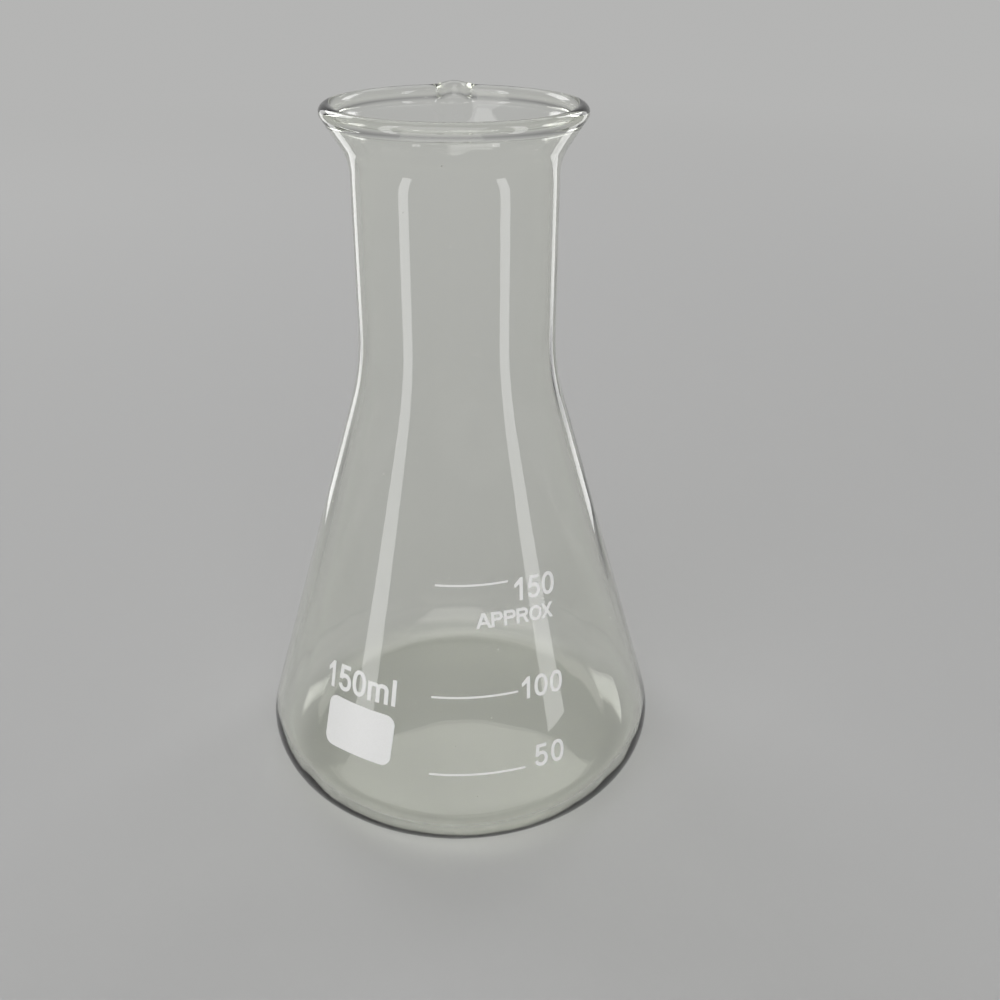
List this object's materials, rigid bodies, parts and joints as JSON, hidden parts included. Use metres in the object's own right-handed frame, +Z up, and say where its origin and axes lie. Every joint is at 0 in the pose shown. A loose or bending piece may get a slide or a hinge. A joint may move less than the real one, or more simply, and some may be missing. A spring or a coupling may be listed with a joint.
{
  "type": "erlenmeyer flask",
  "caption": "Conical glass laboratory flask of 150 ml with a cylindrical neck, flared lip, pouring spout, volume lines and a white patch to write on.",
  "frame": {"origin": "centre of the foot, on the surface that the flask stands on", "axes": "+Z up along the flask's axis, -Y towards the volume lines, +Y towards the pouring spout"},
  "size_m": [0.074, 0.074, 0.1225],
  "materials": {
    "clear_glass": "clear, fire-polished, with a faint yellow-green tint where the glass is thick",
    "white_enamel": "fired white enamel print, slightly matt"
  },
  "bodies": {
    "root": {"flask": "clear_glass", "marking_spot": "white_enamel", "graduation_50": "white_enamel", "graduation_100": "white_enamel", "graduation_150": "white_enamel"}
  },
  "joints": []
}
